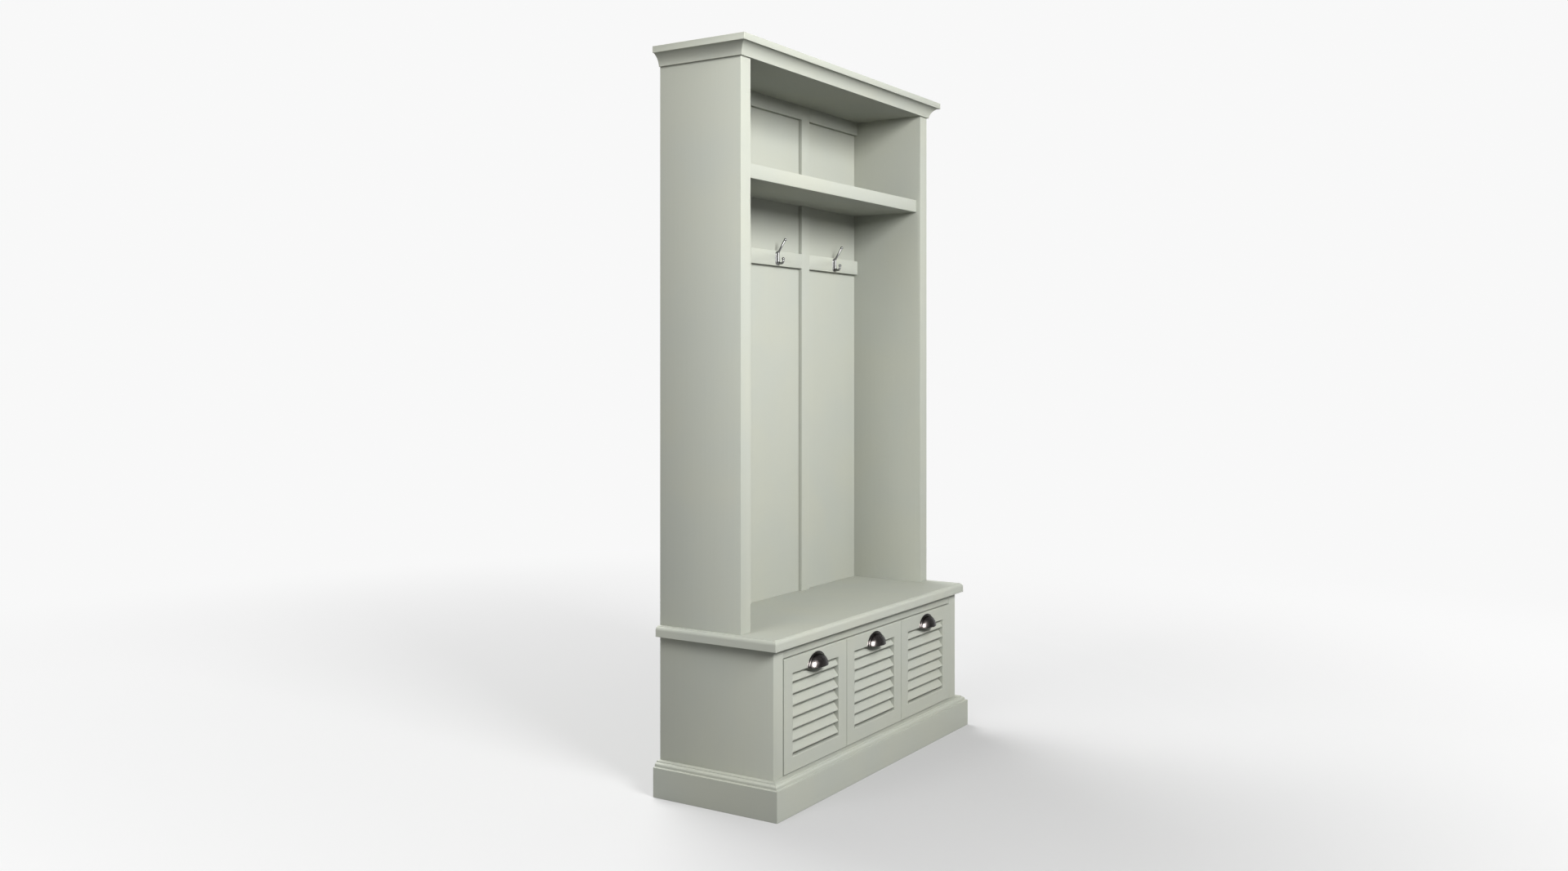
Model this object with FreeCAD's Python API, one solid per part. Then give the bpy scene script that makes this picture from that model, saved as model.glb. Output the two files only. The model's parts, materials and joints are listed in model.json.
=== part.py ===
import FreeCAD, Part
import math
import os

# Hall stand: a bench base with three louvred drawers, and an open coat hutch standing on it.
# Millimetres, +Z up, the front faces -Y. The origin is on the floor, in the middle of the footprint.

# Case
case_width = 1063.0          # over the side slabs of base and hutch
side_thickness = 45.0
overall_height = 2000.0
base_depth = 362.5           # back to the front edges of the base sides
base_height = 425.5          # floor to the underside of the bench
hutch_depth = 262.0          # back to the front edges of the hutch sides
housing_depth = 8.0          # floor, shelf and top boards are let into the sides
bay_count = 3

# Plinth moulding
plinth_height = 94.0
plinth_projection = 31.0
plinth_face_height = 80.0
plinth_step = 7.0
plinth_step_rise = 5.0
plinth_round_in = 8.0
plinth_round_rise = 5.5

# Bench top
bench_thickness = 28.5
bench_projection = 20.0
bench_face_height = 17.0
bench_round_in = 7.5
bench_round_rise = 10.0

# Cornice
cap_thickness = 18.0
cap_projection = 33.5
cove_height = 31.5
cove_foot = 5.8              # the cove's lower edge stands this far out from the sides
cove_set_in = 6.0            # the cove's upper edge lies this far inside the cap's edge
cove_sag_share = 0.13        # hollow of the cove, as a share of its chord

# Base boards
floor_thickness = 18.0
floor_rail_thickness = 18.0
divider_thickness = 18.0
top_rail_height = 29.0
top_rail_recess = 1.5

# Back panels, battens and rails
back_thickness = 12.0
back_recess = 6.5            # the panels lie this far inside the back plane
back_seat = 10.0             # depth of the panels' grooves in the sides
batten_width = 45.0
batten_thickness = 12.0
hook_rail_height = 44.5
hook_rail_drop = 149.0       # top of the hook rail below the shelf
back_top_rail_height = 42.0

# Shelf
shelf_thickness = 38.5
shelf_headroom = 269.0       # shelf to ceiling
shelf_set_back = 14.5

# Dowels between bench and hutch
dowel_radius = 5.0
dowel_in_bench = 16.0
dowel_in_side = 30.0
dowel_depth_shares = (0.2, 0.8)

# Louvred drawer fronts
front_gap = 2.5
front_thickness = 25.0
front_proud = 2.0            # the fronts stand this far out from the base sides
front_stop_gap = 0.5         # between a closed front and the dividers that stop it
frame_member_width = 42.5    # stiles and top rail
frame_foot_width = 39.5      # bottom rail
slat_spacing = 30.5          # slats stand at least this far apart
slat_width = 31.5
slat_thickness = 6.5
slat_tilt = 52.0             # degrees from level
slat_set_back = 2.6          # slats lie this far inside the frame's face
slat_foot_gap = 6.5          # lowest slat above the bottom rail
slat_seat = 6.0              # slat ends are let into the stiles
slat_clearance = 0.15

# Drawer boxes
box_side_gap = 2.0
box_floor_gap = 9.0
box_rear_gap = 6.0
box_height = 250.0
box_front_thickness = 15.0
box_side_thickness = 15.0
box_back_thickness = 15.0
box_bottom_thickness = 6.0
box_bottom_rise = 10.0
box_bottom_seat = 6.0

# Drawer runners
runner_height = 14.0
runner_groove_depth = 8.0
runner_clearance = 0.3
runner_set_back = 12.0
runner_height_share = 0.5
runner_screw_radius = 2.0
runner_screw_head_radius = 4.0
runner_screw_bite = 13.0
left_runner_screw_shares = (0.12, 0.80)
right_runner_screw_shares = (0.20, 0.88)

# Cup pulls
cup_half_width = 40.0
cup_height = 33.5
cup_projection = 28.5
cup_wall = 2.0
flange_half_width = 47.0
flange_height = 37.0
flange_thickness = 2.0
pull_screw_rise = 6.0        # screw centres above the cup's open edge
pull_screw_radius = 1.5
pull_screw_head_radius = 2.2
pull_screw_bite = 16.0

# Coat hooks
hook_plate_width = 22.0
hook_plate_height = 41.0
hook_plate_thickness = 3.0
hook_rod_radius = 3.2
hook_ball_radius = 4.6
upper_tip_reach = 28.0       # out from the rail's face
upper_tip_rise = 54.0        # above the plate's middle
upper_bend_rise = 18.0
upper_bend_radius = 14.0
lower_turn_radius = 8.5
lower_turn_drop = 7.5        # below the plate's middle
lower_tip_drop = 2.0
hook_screw_radius = 1.5
hook_screw_head_radius = 2.4
hook_screw_bite = 8.0
hook_screw_offset = 7.0      # to each side of the rod

# Fits and cuts
screw_clearance = 0.05
dowel_clearance = 0.05
overrun = 2.0
quarter_share = math.sqrt(0.5)   # middle of a quarter round, along each of its two sides

# Sizes that follow
Vector = FreeCAD.Vector
half_width = case_width / 2
inner_half = half_width - side_thickness
back_y = (base_depth + plinth_projection) / 2
back_face_depth = back_recess + back_thickness
bench_top = base_height + bench_thickness
cap_underside = overall_height - cap_thickness
ceiling = cap_underside - cove_height
shelf_underside = ceiling - shelf_headroom - shelf_thickness
shelf_front_depth = hutch_depth - shelf_set_back
hook_rail_bottom = shelf_underside - hook_rail_drop - hook_rail_height
batten_face_depth = back_face_depth + batten_thickness
batten_centre = inner_half / bay_count
hook_centre = (batten_centre + batten_width / 2 + inner_half) / 2
hook_height = hook_rail_bottom + hook_rail_height / 2

front_face_depth = base_depth + front_proud
front_back_depth = front_face_depth - front_thickness
divider_front_depth = front_back_depth - front_stop_gap
front_pitch = (2 * inner_half - front_gap) / bay_count
front_width = front_pitch - front_gap
front_bottom = plinth_height + front_gap
front_top = base_height - top_rail_height - front_gap
opening_bottom = front_bottom + frame_foot_width
opening_top = front_top - frame_member_width
opening_half = front_width / 2 - frame_member_width
slat_count = int((opening_top - opening_bottom) / slat_spacing)
slat_pitch = (opening_top - opening_bottom) / slat_count

bay_width = (2 * inner_half - (bay_count - 1) * divider_thickness) / bay_count
bay_pitch = bay_width + divider_thickness
box_half = bay_width / 2 - box_side_gap
box_foot = plinth_height + box_floor_gap
box_inner_half = box_half - box_side_thickness
box_side_depth = front_back_depth - box_front_thickness
box_rear_depth = back_face_depth + box_rear_gap
runner_middle = box_foot + box_height * runner_height_share
runner_thickness = box_side_gap + runner_groove_depth - runner_clearance
runner_front_depth = box_side_depth - runner_set_back
runner_rear_depth = back_face_depth + runner_set_back
pull_screw_offset = (cup_half_width + flange_half_width) / 2
pull_screw_height = opening_top + pull_screw_rise
hook_spine_out = hook_plate_thickness / 2 + hook_rod_radius


def at(depth):
    """Y of a plane that lies a given depth in front of the back plane."""
    return back_y - depth


def block(x, y, z):
    """Box between two limits along each axis."""
    low = Vector(min(x), min(y), min(z))
    return Part.makeBox(max(x) - low.x, max(y) - low.y, max(z) - low.z, low)


def board(x, depths, z):
    """Box whose Y limits are depths in front of the back plane."""
    return block(x, [at(depth) for depth in depths], z)


def moved(shape, x):
    """Copy of a shape, moved along X."""
    copy = shape.copy()
    copy.translate(Vector(x, 0, 0))
    return copy


def mirrored(shape):
    """Copy of a shape on the other side of the middle plane."""
    return shape.mirror(Vector(0, 0, 0), Vector(1, 0, 0))


def swept(profile, place, run):
    """Solid of a closed profile: points are line ends, and pairs of points are an arc's middle and end."""
    start = place(*profile[0])
    here = start
    edges = []
    for step in profile[1:]:
        if isinstance(step[0], tuple):
            middle, there = [place(*point) for point in step]
            edges.append(Part.Arc(here, middle, there).toShape())
        else:
            there = place(*step)
            edges.append(Part.makeLine(here, there))
        here = there
    edges.append(Part.makeLine(here, start))
    return Part.Face(Part.Wire(edges)).extrude(run)


def plan_prism(corners):
    """Upright prism over a plan outline, as tall as the whole stand."""
    points = [Vector(x, y, 0) for x, y in corners]
    outline = Part.makePolygon(points + points[:1])
    return Part.Face(outline).extrude(Vector(0, 0, overall_height))


def mitred_set(profile, projection, depth):
    """Front, left and right lengths of a moulding planted round a case, mitred at the corners."""
    reach = projection + overrun
    front_y = at(depth)
    corner = (-half_width, front_y)
    tip = (-half_width - reach, front_y - reach)
    across = Vector(-2 * tip[0], 0, 0)
    forward = Vector(0, tip[1] - back_y, 0)
    front = swept(profile, lambda out, up: Vector(tip[0], front_y - out, up), across)
    front = front.common(plan_prism([corner, (-corner[0], corner[1]), (-tip[0], tip[1]), tip]))
    left = swept(profile, lambda out, up: Vector(-half_width - out, back_y, up), forward)
    left = left.common(plan_prism([(corner[0], back_y), corner, tip, (tip[0], back_y)]))
    return front, left, mirrored(left)


def wood_screw(head_radius, radius, bite):
    """Countersunk screw along +Z, its head's flat face at zero and its point at the far end."""
    shank = bite - radius
    head_height = head_radius - radius
    head = Part.makeCone(head_radius, radius, head_height)
    body = Part.makeCylinder(radius, shank, Vector(0, 0, head_height))
    point = Part.makeCone(radius, 0, radius, Vector(0, 0, head_height + shank))
    return head.fuse([body, point]).removeSplitter()


def screw_hole(head_radius, radius, bite):
    """Hole for a screw of these sizes, with its clearance."""
    head_height = head_radius - radius
    mouth_radius = head_radius + screw_clearance
    hole_radius = radius + screw_clearance
    mouth = Part.makeCylinder(mouth_radius, overrun, Vector(0, 0, -overrun))
    sink = Part.makeCone(mouth_radius, hole_radius, head_height)
    shaft = Part.makeCylinder(hole_radius, bite + screw_clearance, Vector(0, 0, head_height))
    return mouth.fuse([sink, shaft]).removeSplitter()


def aimed(shape, base, direction):
    """Copy of a shape made along +Z, with its zero at a point and its length along a direction."""
    copy = shape.copy()
    copy.Placement = FreeCAD.Placement(base, FreeCAD.Rotation(Vector(0, 0, 1), direction))
    return copy


def plinth_profile():
    """Plinth section: flat face, ledge, small rise, quarter round and top fillet."""
    step_out = plinth_projection - plinth_step
    round_foot = plinth_face_height + plinth_step_rise
    round_out = step_out - plinth_round_in
    round_top = round_foot + plinth_round_rise
    middle = (round_out + plinth_round_in * quarter_share, round_foot + plinth_round_rise * quarter_share)
    return [
        (0, 0),
        (plinth_projection, 0),
        (plinth_projection, plinth_face_height),
        (step_out, plinth_face_height),
        (step_out, round_foot),
        (middle, (round_out, round_top)),
        (round_out, plinth_height),
        (0, plinth_height),
    ]


def cove_profile():
    """Cornice section: a shallow hollow that leans out from the case to the cap."""
    foot = (cove_foot, ceiling)
    head = (cap_projection - cove_set_in, cap_underside)
    lean = (head[0] - foot[0], head[1] - foot[1])
    middle = (
        (foot[0] + head[0]) / 2 - lean[1] * cove_sag_share,
        (foot[1] + head[1]) / 2 + lean[0] * cove_sag_share,
    )
    return [(0, ceiling), foot, (middle, head), (0, cap_underside)]


def bench():
    """Bench board, moulded on its front and both ends."""
    end = half_width + bench_projection
    front = base_depth + bench_projection
    face_top = base_height + bench_face_height
    round_top = face_top + bench_round_rise
    inset = bench_round_in
    bulge = bench_round_in * (1 - quarter_share)
    bulge_top = face_top + bench_round_rise * quarter_share
    across = [
        (0, base_height),
        (front, base_height),
        (front, face_top),
        ((front - bulge, bulge_top), (front - inset, round_top)),
        (front - inset, bench_top),
        (0, bench_top),
    ]
    along = [
        (-end, base_height),
        (end, base_height),
        (end, face_top),
        ((end - bulge, bulge_top), (end - inset, round_top)),
        (end - inset, bench_top),
        (inset - end, bench_top),
        (inset - end, round_top),
        ((bulge - end, bulge_top), (-end, face_top)),
    ]
    slab = swept(across, lambda depth, up: Vector(-end, at(depth), up), Vector(2 * end, 0, 0))
    return slab.common(swept(along, lambda x, up: Vector(x, back_y, up), Vector(0, -front, 0)))


def dowel_places():
    """Where the dowels stand between the bench and the hutch sides."""
    x = inner_half + side_thickness / 2
    rows = [at(hutch_depth * share) for share in dowel_depth_shares]
    return [Vector(s * x, y, bench_top) for s in (-1, 1) for y in rows]


def dowels(clearance):
    """Dowels, or their holes where a clearance is given."""
    length = dowel_in_bench + dowel_in_side + 2 * clearance
    foot = Vector(0, 0, dowel_in_bench + clearance)
    return [Part.makeCylinder(dowel_radius + clearance, length, place - foot) for place in dowel_places()]


def base_side():
    """Left side of the base, grooved for the floor and the back panel."""
    inner = -inner_half
    side = board((-half_width, inner), (0, base_depth), (0, base_height))
    floor_groove = board((inner - housing_depth, inner + overrun), (back_recess, base_depth + overrun),
                         (plinth_height - floor_thickness, plinth_height))
    back_groove = board((inner - back_seat, inner + overrun), (back_recess, back_face_depth),
                        (plinth_height - floor_thickness, base_height + overrun))
    return side.cut([floor_groove, back_groove])


def hutch_side():
    """Left side of the hutch, grooved for the shelf, the top and the back panel."""
    inner = -inner_half
    groove = (inner - housing_depth, inner + overrun)
    side = board((-half_width, inner), (0, hutch_depth), (bench_top, cap_underside))
    shelf_groove = board(groove, (back_recess, shelf_front_depth),
                         (shelf_underside, shelf_underside + shelf_thickness))
    top_groove = board(groove, (back_recess, hutch_depth + overrun), (ceiling, cap_underside + overrun))
    back_groove = board((inner - back_seat, inner + overrun), (back_recess, back_face_depth),
                        (bench_top - overrun, cap_underside + overrun))
    return side.cut([shelf_groove, top_groove, back_groove])


def dividers():
    """Upright partitions between the drawer bays, left then right."""
    depths = (back_face_depth, divider_front_depth)
    places = [-inner_half + (i + 1) * bay_pitch - divider_thickness for i in range(bay_count - 1)]
    return [board((x, x + divider_thickness), depths, (plinth_height, base_height)) for x in places]


def batten_limits():
    """X limits of the two upright battens, left then right."""
    half = batten_width / 2
    return [(s * batten_centre - half, s * batten_centre + half) for s in (-1, 1)]


def between_battens(bottom, height):
    """Three lengths of back rail, between the sides and the battens."""
    left, right = batten_limits()
    spans = [(-inner_half, left[0]), (left[1], right[0]), (right[1], inner_half)]
    depths = (back_face_depth, batten_face_depth)
    return [board(span, depths, (bottom, bottom + height)) for span in spans]


def shelf():
    """Shelf board, let into the sides and notched round the battens."""
    end = inner_half + housing_depth
    z = (shelf_underside, shelf_underside + shelf_thickness)
    plank = board((-end, end), (back_face_depth, shelf_front_depth), z)
    depths = (back_face_depth - overrun, batten_face_depth)
    heights = (z[0] - overrun, z[1] + overrun)
    return plank.cut([board(span, depths, heights) for span in batten_limits()])


def battens():
    """Upright battens on the back panel, from bench to ceiling."""
    depths = (back_face_depth, batten_face_depth)
    return [board(span, depths, (bench_top, ceiling)) for span in batten_limits()]


def bay_centre(i):
    """X of the middle of a drawer bay."""
    return -inner_half + bay_width / 2 + i * bay_pitch


def front_centre(i):
    """X of the middle of a drawer front."""
    return (i - (bay_count - 1) / 2) * front_pitch


def runner_screw_places(i):
    """Head centres and directions of the runner screws in one bay."""
    length = runner_front_depth - runner_rear_depth
    reach = bay_width / 2 - runner_thickness
    places = []
    for s, shares in ((-1, left_runner_screw_shares), (1, right_runner_screw_shares)):
        for share in shares:
            y = at(runner_rear_depth + share * length)
            places.append((Vector(bay_centre(i) + s * reach, y, runner_middle), Vector(s, 0, 0)))
    return places


def runner_screw_parts(make):
    """Every runner screw, or every hole for one."""
    pattern = make(runner_screw_head_radius, runner_screw_radius, runner_screw_bite)
    return [aimed(pattern, *place) for i in range(bay_count) for place in runner_screw_places(i)]


def runners():
    """Hardwood strips on both walls of each bay, which the drawer sides run on."""
    depths = (runner_rear_depth, runner_front_depth)
    z = (runner_middle - runner_height / 2, runner_middle + runner_height / 2)
    strips = []
    for i in range(bay_count):
        for s in (-1, 1):
            wall = bay_centre(i) + s * bay_width / 2
            strips.append(board((wall, wall - s * runner_thickness), depths, z))
    return strips


def slats(growth):
    """Louvre slats of one front, or the grooves for them where a growth is given."""
    radius = slat_thickness / 2
    grown = radius + growth
    core = slat_width - slat_thickness
    tilt = math.radians(slat_tilt)
    along = (math.cos(tilt), math.sin(tilt))
    across = (-along[1], along[0])
    end = opening_half + slat_seat - slat_clearance + growth
    bars = []
    for i in range(slat_count):
        low = (slat_set_back + radius, opening_bottom + slat_foot_gap + radius + i * slat_pitch)
        high = (low[0] + core * along[0], low[1] + core * along[1])
        profile = [
            (high[0] + grown * across[0], high[1] + grown * across[1]),
            ((high[0] + grown * along[0], high[1] + grown * along[1]),
             (high[0] - grown * across[0], high[1] - grown * across[1])),
            (low[0] - grown * across[0], low[1] - grown * across[1]),
            ((low[0] - grown * along[0], low[1] - grown * along[1]),
             (low[0] + grown * across[0], low[1] + grown * across[1])),
        ]
        bars.append(swept(profile, lambda back, up: Vector(-end, at(front_face_depth - back), up),
                          Vector(2 * end, 0, 0)))
    return bars


def pull_screw_parts(make):
    """One pull's screws, or the holes for them."""
    pattern = make(pull_screw_head_radius, pull_screw_radius, pull_screw_bite)
    y = at(front_face_depth + flange_thickness)
    places = [Vector(s * pull_screw_offset, y, pull_screw_height) for s in (-1, 1)]
    return [aimed(pattern, place, Vector(0, 1, 0)) for place in places]


def stretched(shape, across_share, out_share):
    """Round shape made elliptical, with its zero on the drawer front's face at the cup's open edge."""
    matrix = FreeCAD.Matrix()
    matrix.scale(across_share, out_share, 1)
    copy = shape.transformGeometry(matrix)
    copy.translate(Vector(0, at(front_face_depth), opening_top))
    return copy


def cup_ellipsoid(wall):
    """Ellipsoid of the cup, smaller by a wall all round."""
    up = cup_height - wall
    return stretched(Part.makeSphere(up), (cup_half_width - wall) / up, (cup_projection - wall) / up)


def cup_pull():
    """Cup pull: a quarter of an ellipsoid shell, open below and behind, on a half-round flange."""
    face = front_face_depth
    disc = Part.makeCylinder(flange_height, flange_thickness, Vector(0, 0, 0), Vector(0, -1, 0))
    flange = stretched(disc, flange_half_width / flange_height, 1)
    quarter = board((-case_width, case_width), (face, face + base_depth), (opening_top, overall_height))
    body = cup_ellipsoid(0).common(quarter).fuse(flange.common(quarter)).cut(cup_ellipsoid(cup_wall))
    return body.cut(pull_screw_parts(screw_hole))


def drawer_front_parts():
    """Pieces of a louvred front, in the middle bay's place."""
    grooves = slats(slat_clearance)
    depths = (front_back_depth, front_face_depth)
    half = front_width / 2
    stiles = [board((s * opening_half, s * half), depths, (front_bottom, front_top)).cut(grooves)
              for s in (-1, 1)]
    span = (-opening_half, opening_half)
    holes = pull_screw_parts(screw_hole)
    top = board(span, depths, (opening_top, front_top)).cut(grooves + holes)
    bottom = board(span, depths, (front_bottom, opening_bottom))
    return {
        "front_stiles": stiles,
        "front_rails": [top, bottom],
        "louvre_slats": slats(0),
        "cup_pull": [cup_pull()],
        "pull_screws": pull_screw_parts(wood_screw),
    }


def drawer_box_parts():
    """Pieces of a drawer box, centred on X."""
    top = box_foot + box_height
    panel = (box_foot + box_bottom_rise, box_foot + box_bottom_rise + box_bottom_thickness)
    panel_half = box_inner_half + box_bottom_seat
    panel_depths = (box_rear_depth, box_side_depth + box_bottom_seat)
    groove = board((-panel_half, panel_half), (panel_depths[0] - overrun, panel_depths[1]), panel)
    half_slot = runner_height / 2 + runner_clearance
    sides = []
    for s in (-1, 1):
        side = board((s * box_inner_half, s * box_half), (box_rear_depth, box_side_depth), (box_foot, top))
        slot = board((s * (box_half - runner_groove_depth), s * (box_half + overrun)),
                     (box_rear_depth - overrun, box_side_depth + overrun),
                     (runner_middle - half_slot, runner_middle + half_slot))
        sides.append(side.cut([slot, groove]))
    front = board((-box_half, box_half), (box_side_depth, front_back_depth), (box_foot, top)).cut(groove)
    back = board((-box_inner_half, box_inner_half), (box_rear_depth, box_rear_depth + box_back_thickness),
                 (panel[1], top))
    return {
        "box_front": [front],
        "box_sides": sides,
        "box_back": [back],
        "box_bottom": [board((-panel_half, panel_half), panel_depths, panel)],
    }


def hook_screw_parts(make):
    """One hook's screws, or the holes for them."""
    pattern = make(hook_screw_head_radius, hook_screw_radius, hook_screw_bite)
    y = at(batten_face_depth + hook_plate_thickness)
    places = [Vector(s * hook_screw_offset, y, hook_height) for s in (-1, 1)]
    return [aimed(pattern, place, Vector(0, 1, 0)) for place in places]


def rounded_corner(before, corner, after, radius):
    """Start, middle and end of the arc that rounds a corner of a path."""
    way_in = (before - corner).normalize()
    way_out = (after - corner).normalize()
    half_angle = way_in.getAngle(way_out) / 2
    setback = radius / math.tan(half_angle)
    inward = (way_in + way_out).normalize()
    sag = radius / math.sin(half_angle) - radius
    return corner + way_in * setback, corner + inward * sag, corner + way_out * setback


def hook_rod(place):
    """Bent rod of a hook: a long raised arm, a spine down the plate and a short turned-up arm."""
    spine = hook_spine_out
    tip = place(upper_tip_reach, upper_tip_rise)
    corner = place(spine, upper_bend_rise)
    turn_start = place(spine, -lower_turn_drop)
    bend = rounded_corner(tip, corner, turn_start, upper_bend_radius)
    turn_middle = place(spine + lower_turn_radius, -lower_turn_drop - lower_turn_radius)
    turn_end = place(spine + 2 * lower_turn_radius, -lower_turn_drop)
    low_tip = place(spine + 2 * lower_turn_radius, -lower_tip_drop)
    path = Part.Wire([
        Part.makeLine(tip, bend[0]),
        Part.Arc(*bend).toShape(),
        Part.makeLine(bend[2], turn_start),
        Part.Arc(turn_start, turn_middle, turn_end).toShape(),
        Part.makeLine(turn_end, low_tip),
    ])
    ring = Part.Wire(Part.makeCircle(hook_rod_radius, tip, bend[0] - tip))
    balls = [Part.makeSphere(hook_ball_radius, point) for point in (tip, low_tip)]
    return [path.makePipeShell([ring], True, True)] + balls


def coat_hook():
    """Two-armed hook on X = 0: a bent rod with a ball on each end, on a round-ended plate."""
    face = at(batten_face_depth)
    half = hook_plate_width / 2
    end = hook_plate_height / 2 - half
    plate = block((-half, half), (face - hook_plate_thickness, face), (hook_height - end, hook_height + end))
    discs = [Part.makeCylinder(half, hook_plate_thickness, Vector(0, face, hook_height + z), Vector(0, -1, 0))
             for z in (-end, end)]
    rod = hook_rod(lambda out, up: Vector(0, face - out, hook_height + up))
    hook = plate.fuse(discs + rod).removeSplitter()
    return hook.cut(hook_screw_parts(screw_hole))


def case_parts():
    """Fixed pieces, by node name."""
    parts = {}
    plinth = mitred_set(plinth_profile(), plinth_projection, base_depth)
    cove = mitred_set(cove_profile(), cap_projection, hutch_depth)
    for name, k in (("front", 0), ("left", 1), ("right", 2)):
        parts["plinth_" + name] = [plinth[k]]
        parts["cove_" + name] = [cove[k]]

    dowel_holes = dowels(dowel_clearance)
    runner_holes = runner_screw_parts(screw_hole)
    base_left = base_side()
    hutch_left = hutch_side()
    parts["base_left_side"] = [base_left.cut(runner_holes)]
    parts["base_right_side"] = [mirrored(base_left).cut(runner_holes)]
    parts["hutch_left_side"] = [hutch_left.cut(dowel_holes)]
    parts["hutch_right_side"] = [mirrored(hutch_left).cut(dowel_holes)]
    parts["bench_top"] = [bench().cut(dowel_holes)]
    parts["hutch_dowels"] = dowels(0)

    housed = inner_half + housing_depth
    floor_bottom = plinth_height - floor_thickness
    inner = (-inner_half, inner_half)
    seated = (-inner_half - back_seat, inner_half + back_seat)
    panel_depths = (back_recess, back_face_depth)
    parts["base_floor"] = [board((-housed, housed), (back_face_depth, base_depth),
                                 (floor_bottom, plinth_height))]
    parts["base_floor_rail"] = [board(inner, (base_depth - floor_rail_thickness, base_depth),
                                      (0, floor_bottom))]
    parts["base_back"] = [board(seated, panel_depths, (floor_bottom, base_height))]
    parts["base_top_rail"] = [board(inner, (divider_front_depth, base_depth - top_rail_recess),
                                    (base_height - top_rail_height, base_height))]
    left, right = dividers()
    parts["left_divider"] = [left.cut(runner_holes)]
    parts["right_divider"] = [right.cut(runner_holes)]
    parts["drawer_runners"] = [strip.cut(runner_holes) for strip in runners()]
    parts["runner_screws"] = runner_screw_parts(wood_screw)

    parts["hutch_back"] = [board(seated, panel_depths, (bench_top, cap_underside))]
    parts["hutch_top"] = [board((-housed, housed), (back_face_depth, hutch_depth), (ceiling, cap_underside))]
    parts["shelf"] = [shelf()]
    parts["left_batten"], parts["right_batten"] = [[batten] for batten in battens()]
    parts["back_top_rails"] = between_battens(ceiling - back_top_rail_height, back_top_rail_height)
    cap_end = half_width + cap_projection
    parts["cornice_cap"] = [board((-cap_end, cap_end), (0, hutch_depth + cap_projection),
                                  (cap_underside, overall_height))]

    hook = coat_hook()
    screws = hook_screw_parts(wood_screw)
    holes = hook_screw_parts(screw_hole)
    places = {"left": -hook_centre, "middle": 0, "right": hook_centre}
    for name, x in places.items():
        parts[name + "_coat_hook"] = [moved(hook, x)]
    parts["hook_screws"] = [moved(screw, x) for x in places.values() for screw in screws]
    cuts = [moved(hole, x) for x in places.values() for hole in holes]
    parts["hook_rails"] = [rail.cut(cuts) for rail in between_battens(hook_rail_bottom, hook_rail_height)]
    return parts


def drawer_parts():
    """Pieces of the drawers, by node name."""
    parts = {}
    front = drawer_front_parts()
    box = drawer_box_parts()
    for i, name in enumerate(("left", "middle", "right")):
        for piece, solids in front.items():
            parts[name + "_drawer_" + piece] = [moved(solid, front_centre(i)) for solid in solids]
        for piece, solids in box.items():
            parts[name + "_drawer_" + piece] = [moved(solid, bay_centre(i)) for solid in solids]
    return parts


def main():
    """Writes one STEP file for each node."""
    os.makedirs("parts", exist_ok=True)
    for name, solids in {**case_parts(), **drawer_parts()}.items():
        shape = solids[0] if len(solids) == 1 else Part.makeCompound(solids)
        shape.exportStep("parts/" + name + ".step")


main()
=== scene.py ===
"""Looks of a painted hall stand with louvred drawers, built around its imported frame.

Lengths are metres in the frame's own axes: +Z is up, and the front of the stand faces -Y.
"""

import json
import logging
import math
from dataclasses import dataclass, field
from enum import Enum
from functools import cache

import bmesh
import bpy
from mathutils import Matrix, Vector

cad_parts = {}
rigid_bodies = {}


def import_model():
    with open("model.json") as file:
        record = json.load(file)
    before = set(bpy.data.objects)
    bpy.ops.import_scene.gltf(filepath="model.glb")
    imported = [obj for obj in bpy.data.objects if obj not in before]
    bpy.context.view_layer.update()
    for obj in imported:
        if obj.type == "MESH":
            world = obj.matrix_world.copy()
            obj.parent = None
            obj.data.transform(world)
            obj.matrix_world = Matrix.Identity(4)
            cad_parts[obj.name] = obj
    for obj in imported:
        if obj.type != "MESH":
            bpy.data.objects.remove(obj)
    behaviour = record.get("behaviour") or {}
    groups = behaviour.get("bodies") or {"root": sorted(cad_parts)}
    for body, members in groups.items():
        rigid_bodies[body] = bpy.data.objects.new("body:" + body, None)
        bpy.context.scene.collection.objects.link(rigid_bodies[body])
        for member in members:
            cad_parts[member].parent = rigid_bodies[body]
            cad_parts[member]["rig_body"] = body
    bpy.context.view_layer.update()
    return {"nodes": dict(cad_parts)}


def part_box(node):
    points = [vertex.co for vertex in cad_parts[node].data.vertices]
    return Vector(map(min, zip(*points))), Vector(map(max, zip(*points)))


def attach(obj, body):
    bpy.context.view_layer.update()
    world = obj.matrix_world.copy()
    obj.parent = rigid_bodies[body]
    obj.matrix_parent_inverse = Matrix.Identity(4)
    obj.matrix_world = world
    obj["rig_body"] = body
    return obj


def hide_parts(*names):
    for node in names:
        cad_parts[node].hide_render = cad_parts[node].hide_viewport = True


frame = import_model()
log = logging.getLogger("hall_stand")

Colour = tuple[float, float, float]
Triple = tuple[float, float, float]
Span = tuple[float, float]
Profile = list[tuple[float, float]]
Row = list[bmesh.types.BMVert]
Inputs = dict[str | int, object]
SMOOTH_LIMIT = math.radians(35.0)
ROUND_PROFILE = 0.5
SLIGHT_EASE = 0.0006
WALL_INWARDS = -1.0
SLAT_EDGE_STEPS = 6
FLOOR = "pale_floor"
WHITE = (1.0, 1.0, 1.0, 1.0)
# Most of a soft noise lies between these two values.
NOISE_LOW = 0.3
NOISE_HIGH = 0.7


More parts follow.
